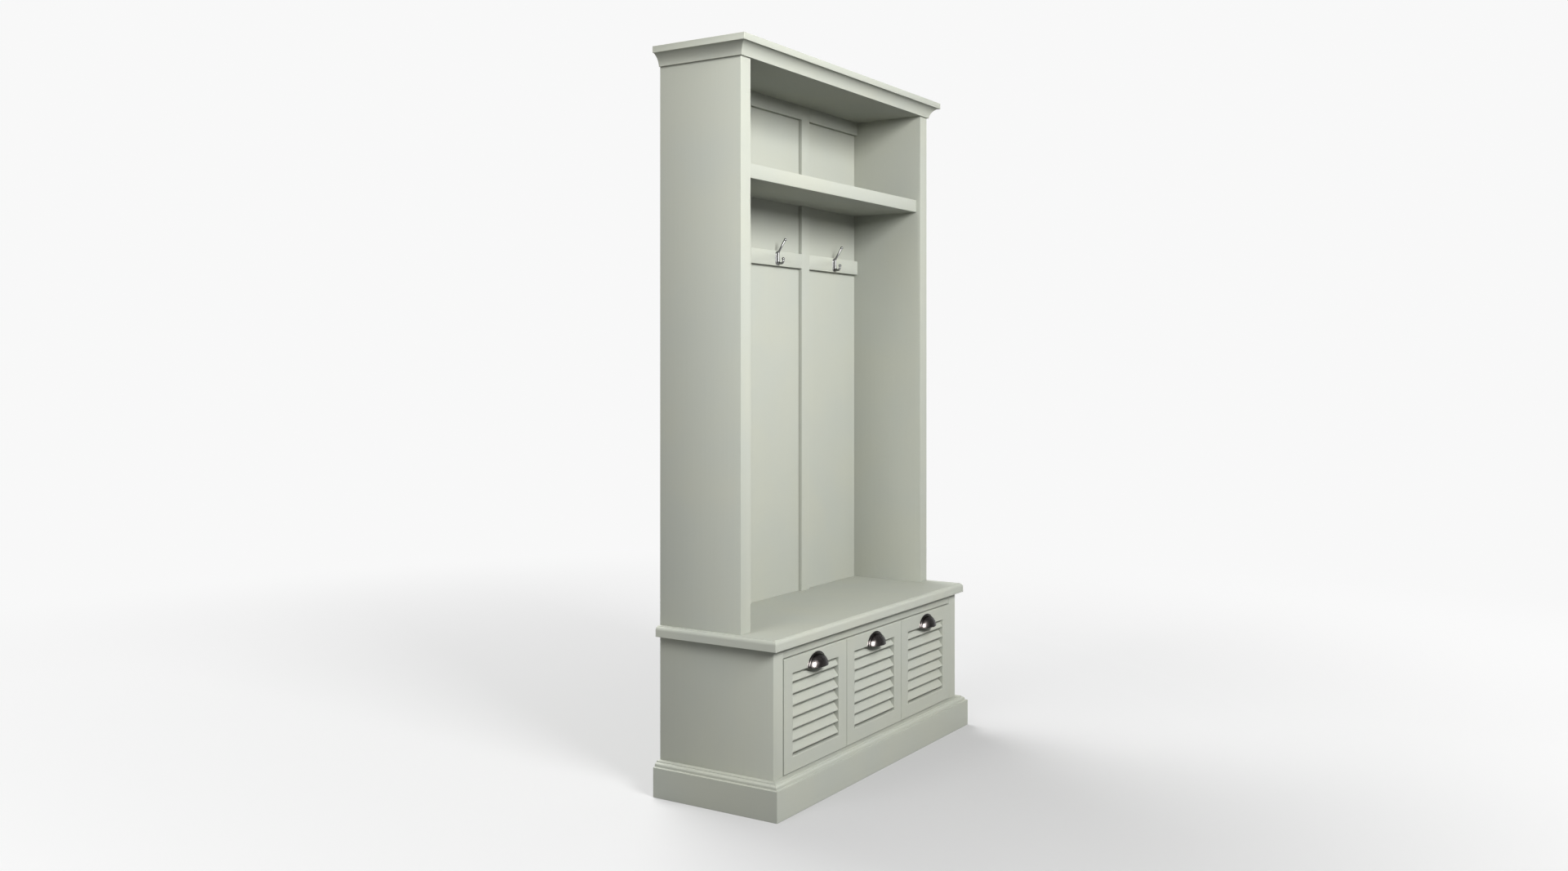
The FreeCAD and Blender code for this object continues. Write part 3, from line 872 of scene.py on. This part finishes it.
@dataclass(frozen=True)
class CupPull:
    """Cup pull: a thin half-round flange that flows into a domed cup, open below."""

    place: Place
    cup_half_width: float = 0.040
    cup_height: float = 0.0335
    wall: float = 0.0018
    flange_thickness: float = 0.0020
    flow: float = 0.0022
    rim_ease: float = 0.0006
    rim_segments: int = 2
    edge_shares: tuple[Span, ...] = ((0.0, 0.55), (0.2, 0.9), (0.6, 1.0))
    turns: int = 56
    flow_steps: int = 6
    dome_steps: int = 22

    def profile(self, half_width: float, height: float, projection: float) -> list[Triple]:
        """Half widths, heights and distances out, from the flange's edge to the front of the dome.

        Args:
            half_width: Half width of the flange.
            height: Height of the flange.
            projection: How far the dome stands out.

        Returns:
            The profile's rows.
        """
        face = self.flange_thickness
        rows = [(half_width - face * inset, height - face * inset, face * out)
                for inset, out in self.edge_shares]
        start = math.asin((face + self.flow) / projection)
        meet = (self.cup_half_width * math.cos(start), self.cup_height * math.cos(start))
        for k in range(self.flow_steps):
            t = math.pi / 2 * k / self.flow_steps
            reach = self.flow * (1 - math.sin(t))
            rows.append((meet[0] + reach, meet[1] + reach, face + self.flow * (1 - math.cos(t))))
        for k in range(self.dome_steps):
            t = start + (math.pi / 2 - start) * k / self.dome_steps
            rows.append((self.cup_half_width * math.cos(t), self.cup_height * math.cos(t),
                         projection * math.sin(t)))
        return rows

    def build(self) -> None:
        """Makes the pull."""
        node = f"{self.place.value}_drawer_cup_pull"
        low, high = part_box(node)
        centre = (low.x + high.x) / 2
        bm = bmesh.new()
        rows = []
        angles = [math.pi * k / self.turns for k in range(self.turns + 1)]
        for half, up, out in self.profile((high.x - low.x) / 2, high.z - low.z, high.y - low.y):
            rows.append([bm.verts.new((centre - half * math.cos(a), high.y - out, low.z + up * math.sin(a)))
                         for a in angles])
        tip = bm.verts.new((centre, low.y, low.z))
        bridge(bm, rows, closed=False)
        for k in range(self.turns):
            bm.faces.new((rows[-1][k], rows[-1][k + 1], tip))
        mesh = mesh_from(f"{self.place.value}_cup_pull_shell", bm, shell=True)
        piece = add_piece(mesh, PULL_METAL.material(), PULL_METAL.slot, [node])
        wall = piece.modifiers.new("wall", "SOLIDIFY")
        wall.thickness = self.wall
        wall.offset = WALL_INWARDS
        ease(piece, self.rim_ease, self.rim_segments)


@dataclass(frozen=True)
class DrawerBox:
    """Hardwood drawer box behind a louvred front."""

    place: Place
    ease: float = 0.0008

    def build(self) -> None:
        """Makes the boards of the box."""
        grains = {"box_front": Grain.ACROSS, "box_sides": Grain.DEPTH, "box_back": Grain.ACROSS,
                  "box_bottom": Grain.ACROSS}
        for piece, grain in grains.items():
            Board(f"{self.place.value}_drawer_{piece}", grain, HARDWOOD, self.ease).build()


@dataclass(frozen=True)
class CoatHook:
    """Double coat hook: a bent rod with a ball on each end, on a round-ended plate."""

    place: Place
    plate_width: float = 0.022
    plate_height: float = 0.041
    plate_thickness: float = 0.003
    plate_edge: float = 0.0006
    crown_width: float = 0.0042
    crown_steps: int = 8
    rod_radius: float = 0.0032
    ball_radius: float = 0.0046
    upper_reach: float = 0.028
    upper_rise: float = 0.054
    bend_rise: float = 0.018
    bend_radius: float = 0.014
    turn_radius: float = 0.0085
    turn_drop: float = 0.0075
    tip_drop: float = 0.002
    sides: int = 24
    ball_rings: int = 16
    bend_steps: int = 8
    turn_steps: int = 16

    def rod_path(self) -> list[Vector]:
        """Centre line of the rod as distances out from the rail and up from the plate's middle.

        Returns:
            Points from the upper tip to the lower one.
        """
        spine = self.plate_thickness / 2 + self.rod_radius
        tip = Vector((self.upper_reach, self.upper_rise))
        corner = Vector((spine, self.bend_rise))
        up_arm = (tip - corner).normalized()
        down = Vector((0.0, -1.0))
        half = math.acos(up_arm.dot(down)) / 2
        centre = corner + (up_arm + down).normalized() * self.bend_radius / math.sin(half)
        sweep = math.pi - 2 * half
        points = [tip]
        for k in range(self.bend_steps + 1):
            angle = math.pi - sweep * (1 - k / self.bend_steps)
            points.append(centre + self.bend_radius * Vector((math.cos(angle), math.sin(angle))))
        for k in range(self.turn_steps + 1):
            angle = math.pi + math.pi * k / self.turn_steps
            points.append(Vector((spine + self.turn_radius * (1 + math.cos(angle)),
                                  self.turn_radius * math.sin(angle) - self.turn_drop)))
        points.append(Vector((spine + 2 * self.turn_radius, -self.tip_drop)))
        return points

    def add_rod(self, bm: bmesh.types.BMesh, path: list[Vector]) -> None:
        """Sweeps the rod's round section along its path.

        Args:
            bm: Mesh that the rod is added to.
            path: Centre line in the plane X = 0.
        """
        rings = []
        for k, point in enumerate(path):
            along = (path[min(k + 1, len(path) - 1)] - path[max(k - 1, 0)]).normalized()
            middle = Vector((0.0, -point.x, point.y))
            ring = []
            for i in range(self.sides):
                angle = 2 * math.pi * i / self.sides
                across = Vector((1.0, 0.0, 0.0)) * math.cos(angle)
                normal = Vector((0.0, along.y, along.x)) * math.sin(angle)
                ring.append(bm.verts.new(middle + (across + normal) * self.rod_radius))
            rings.append(ring)
        loft(bm, rings)

    def add_plate(self, bm: bmesh.types.BMesh, steps: int = 20) -> None:
        """Adds the round-ended plate, whose face is crowned towards its edge.

        Args:
            bm: Mesh that the plate is added to.
            steps: Lengths of each round end.
        """
        straight = (self.plate_height - self.plate_width) / 2
        turns = [math.pi / 2 * k / self.crown_steps for k in range(self.crown_steps + 1)]
        crown = [(self.crown_width * (1 - math.cos(t)),
                  self.plate_edge + (self.plate_thickness - self.plate_edge) * math.sin(t)) for t in turns]
        rows = []
        for inset, out in [(0.0, 0.0), *crown]:
            radius = self.plate_width / 2 - inset
            row = []
            for middle, start in ((straight, 0.0), (-straight, math.pi)):
                for k in range(steps + 1):
                    angle = start + math.pi * k / steps
                    spot = (radius * math.cos(angle), -out, middle + radius * math.sin(angle))
                    row.append(bm.verts.new(spot))
            rows.append(row)
        loft(bm, rows)

    def build(self) -> None:
        """Makes the hook."""
        node = f"{self.place.value}_coat_hook"
        low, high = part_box(node)
        bm = bmesh.new()
        path = self.rod_path()
        self.add_rod(bm, path)
        for tip in (path[0], path[-1]):
            spot = Matrix.Translation((0.0, -tip.x, tip.y))
            bmesh.ops.create_uvsphere(bm, u_segments=self.sides, v_segments=self.ball_rings,
                                      radius=self.ball_radius, matrix=spot)
        self.add_plate(bm)
        middle = Vector(((low.x + high.x) / 2, high.y, low.z + self.plate_height / 2))
        bmesh.ops.translate(bm, verts=bm.verts, vec=middle)
        mesh = mesh_from(f"{self.place.value}_hook_casting", bm)
        piece = add_piece(mesh, HOOK_METAL.material(), HOOK_METAL.slot, [node])
        even_shading(piece)


@cache
def lit_except(name: str) -> bpy.types.Collection:
    """Group that keeps a lamp's light off one object.

    Args:
        name: Object that the lamp leaves out.

    Returns:
        The group.
    """
    group = bpy.data.collections.new(f"unlit_{name}")
    group.objects.link(bpy.data.objects[name])
    group.collection_objects[0].light_linking.link_state = "EXCLUDE"
    return group


@dataclass(frozen=True)
class SoftLamp:
    """Square studio lamp.

    Attributes:
        spread: Opening of its beam in degrees.
        bounces: How often its light may be thrown back by what it falls on.
        only_slot: Slot of the pieces that it lights alone, if any.
        leaves_out: Object that its light stays off, if any.
    """

    name: str
    place: Triple
    aim: Triple
    size: float
    watts: float
    spread: float = 180.0
    bounces: int = 1024
    only_slot: str = ""
    leaves_out: str = ""

    def build(self) -> None:
        """Hangs the lamp and turns it to its aim."""
        light = bpy.data.lights.new(self.name, "AREA")
        light.shape = "SQUARE"
        light.size = self.size
        light.energy = self.watts
        light.spread = math.radians(self.spread)
        light.cycles.max_bounces = self.bounces
        lamp = bpy.data.objects.new(self.name, light)
        if self.only_slot:
            lamp.light_linking.receiver_collection = lit_group(self.only_slot)
        if self.leaves_out:
            lamp.light_linking.receiver_collection = lit_except(self.leaves_out)
        lamp.location = self.place
        lamp.rotation_euler = (Vector(self.aim) - Vector(self.place)).to_track_quat("-Z", "Y").to_euler()
        bpy.context.scene.collection.objects.link(lamp)


def seen_ray(nodes: NodeMaker) -> bpy.types.NodeSocket:
    """Adds a test for what the eye sees, straight or in metal or glass.

    Args:
        nodes: Nodes of a material or a world.

    Returns:
        A value of 1 for such a ray, and of 0 for soft light that bounces.
    """
    path = nodes.add("ShaderNodeLightPath")
    seen = path.outputs["Is Camera Ray"]
    for ray in ("Is Glossy Ray", "Is Transmission Ray"):
        either = nodes.add("ShaderNodeMath", {0: seen, 1: path.outputs[ray]}, operation="MAXIMUM")
        seen = either.outputs[0]
    return seen


KEY_PLACE = (-1.45, -3.2, 2.8)


@dataclass
class Studio:
    """Pale floor, white surround, soft lamps and the camera."""

    white: float = 0.94
    ambient: float = 0.22
    # The floor's grey at the origin, its slope and its curve over the plan, and the lift of its shadows.
    floor_pale: float = 0.8135
    floor_tilt: Triple = (0.0130, -0.0705, 0.0)
    floor_bowl: tuple[Triple, Triple] = ((0.0654, -0.0198, 0.0), (-0.0198, 0.0427, 0.0))
    floor_lift: float = 0.17
    bounce_colour: Colour = (0.30, 0.30, 0.30)
    floor_half: float = 14.0
    fade_from: float = 2.0
    fade_to: float = 4.6
    # The photograph's camera: metres and degrees, the photograph's pixels, and a sensor in millimetres.
    camera_place: Triple = (-3.421972, -2.046270, 1.148847)
    camera_turn: float = -57.39812
    image_width: float = 1920.0
    image_height: float = 1067.0
    focal_pixels: float = 1663.849
    horizon_row: float = 448.254
    sensor_width: float = 36.0
    lamps: list[SoftLamp] = field(default_factory=lambda: [
        SoftLamp("key_lamp", KEY_PLACE, (0.0, 0.0, 1.0), 1.6, 70.0, bounces=1),
        SoftLamp("key_direct", KEY_PLACE, (0.0, 0.0, 1.0), 1.6, 62.0, bounces=0, leaves_out=FLOOR),
        SoftLamp("key_beam", KEY_PLACE, (0.0, 0.0, 1.4), 1.6, 7.0, spread=50.0, bounces=0),
        SoftLamp("back_lamp", (1.0, 2.4, 4.2), (0.0, -0.4, 0.2), 2.4, 143.0),
        SoftLamp("left_fill", (-3.0, 0.3, 3.4), (-0.5, 0.0, 1.5), 2.0, 42.0),
        SoftLamp("pull_glint", (-2.8, -2.5, 1.6), (0.0, 0.0, 0.4), 2.2, 3000.0, only_slot=PULL_METAL.slot),
        SoftLamp("hook_glint", (-2.0, -2.4, 1.7), (0.0, 0.1, 1.5), 2.0, 110.0, only_slot=HOOK_METAL.slot),
    ])

    def build(self) -> None:
        """Sets the stage."""
        bpy.context.scene.view_settings.view_transform = "Standard"
        self.build_world()
        self.build_floor()
        self.build_camera()
        for lamp in self.lamps:
            lamp.build()

    def build_world(self) -> None:
        """Even soft light, behind which the eye, metal and glass see white."""
        world = bpy.data.worlds.new("white_studio")
        world.use_nodes = True
        bpy.context.scene.world = world
        nodes = NodeMaker(world.node_tree)
        soft = nodes.add("ShaderNodeBackground", {"Color": WHITE, "Strength": self.ambient})
        plain = nodes.add("ShaderNodeBackground", {"Color": WHITE, "Strength": self.white})
        mix = nodes.add("ShaderNodeMixShader", {0: seen_ray(nodes), 1: soft.outputs["Background"],
                                                2: plain.outputs["Background"]})
        nodes.add("ShaderNodeOutputWorld", {"Surface": mix.outputs["Shader"]})

    def build_floor(self) -> None:
        """Pale floor that takes the shadows near the stand and fades to white further off."""
        graph = Graph(FLOOR)
        reach = graph.add("ShaderNodeVectorMath", {0: graph.place()}, operation="LENGTH").outputs["Value"]
        fade = graph.add("ShaderNodeMapRange", {
            "Value": reach, "From Min": self.fade_from, "From Max": self.fade_to, "To Min": self.floor_lift,
        }, interpolation_type="SMOOTHSTEP").outputs["Result"]
        near = graph.add("ShaderNodeBsdfDiffuse", {"Color": self.evened_colour(graph)}).outputs["BSDF"]
        far = graph.add("ShaderNodeEmission", {"Color": WHITE, "Strength": self.white}).outputs["Emission"]
        pale = graph.add("ShaderNodeMixShader", {0: fade, 1: near, 2: far})
        dim = graph.add("ShaderNodeBsdfDiffuse", {"Color": (*self.bounce_colour, 1.0)})
        mix = graph.add("ShaderNodeMixShader", {0: seen_ray(graph), 1: dim.outputs["BSDF"],
                                                2: pale.outputs["Shader"]})
        graph.add("ShaderNodeOutputMaterial", {"Surface": mix.outputs["Shader"]})
        half = self.floor_half
        mesh = bpy.data.meshes.new(FLOOR)
        corners = [(-half, -half, 0.0), (half, -half, 0.0), (half, half, 0.0), (-half, half, 0.0)]
        mesh.from_pydata(corners, [], [tuple(range(len(corners)))])
        mesh.materials.append(graph.material)
        floor = bpy.data.objects.new(FLOOR, mesh)
        bpy.context.scene.collection.objects.link(floor)

    def evened_colour(self, graph: Graph) -> bpy.types.NodeSocket:
        """Grey that grows where the lamps are weaker, so that the open floor looks evenly pale.

        Args:
            graph: Nodes of the floor.

        Returns:
            The grey as a value: a constant, a tilt and a shallow bowl over the plan.
        """
        spot = graph.place()
        bent = []
        for row in self.floor_bowl:
            dot = graph.add("ShaderNodeVectorMath", {0: spot, 1: row}, operation="DOT_PRODUCT")
            bent.append(dot.outputs["Value"])
        bowl = graph.add("ShaderNodeCombineXYZ", {"X": bent[0], "Y": bent[1]}).outputs[0]
        slope = graph.add("ShaderNodeVectorMath", {0: bowl, 1: self.floor_tilt}, operation="ADD").outputs[0]
        climb = graph.add("ShaderNodeVectorMath", {0: spot, 1: slope}, operation="DOT_PRODUCT")
        rise = climb.outputs["Value"]
        grey = graph.add("ShaderNodeMath", {0: rise, 1: self.floor_pale}, operation="ADD").outputs[0]
        return graph.add("ShaderNodeMath", {0: grey, 1: self.white}, operation="MULTIPLY").outputs[0]

    def build_camera(self) -> None:
        """Level camera with a lens shift, which frames the stand as the photograph does."""
        data = bpy.data.cameras.new("photo_camera")
        data.sensor_width = self.sensor_width
        data.lens = self.sensor_width * self.focal_pixels / self.image_width
        data.shift_y = (self.horizon_row - self.image_height / 2) / self.image_width
        camera = bpy.data.objects.new("photo_camera", data)
        camera.location = self.camera_place
        camera.rotation_euler = (math.pi / 2, 0.0, math.radians(self.camera_turn))
        bpy.context.scene.collection.objects.link(camera)
        bpy.context.scene.camera = camera


def main() -> None:
    """Builds the stand and its studio."""
    logging.basicConfig(level=logging.INFO, format="%(message)s")
    Studio().build()
    Carcass().build()
    for place in Place:
        LouvredFront(place).build()
        CupPull(place).build()
        DrawerBox(place).build()
        CoatHook(place).build()
        dress(f"{place.value}_drawer_pull_screws", SCREW_STEEL.material())
    dress("hook_screws", SCREW_STEEL.material())


if __name__ == "__main__":
    main()
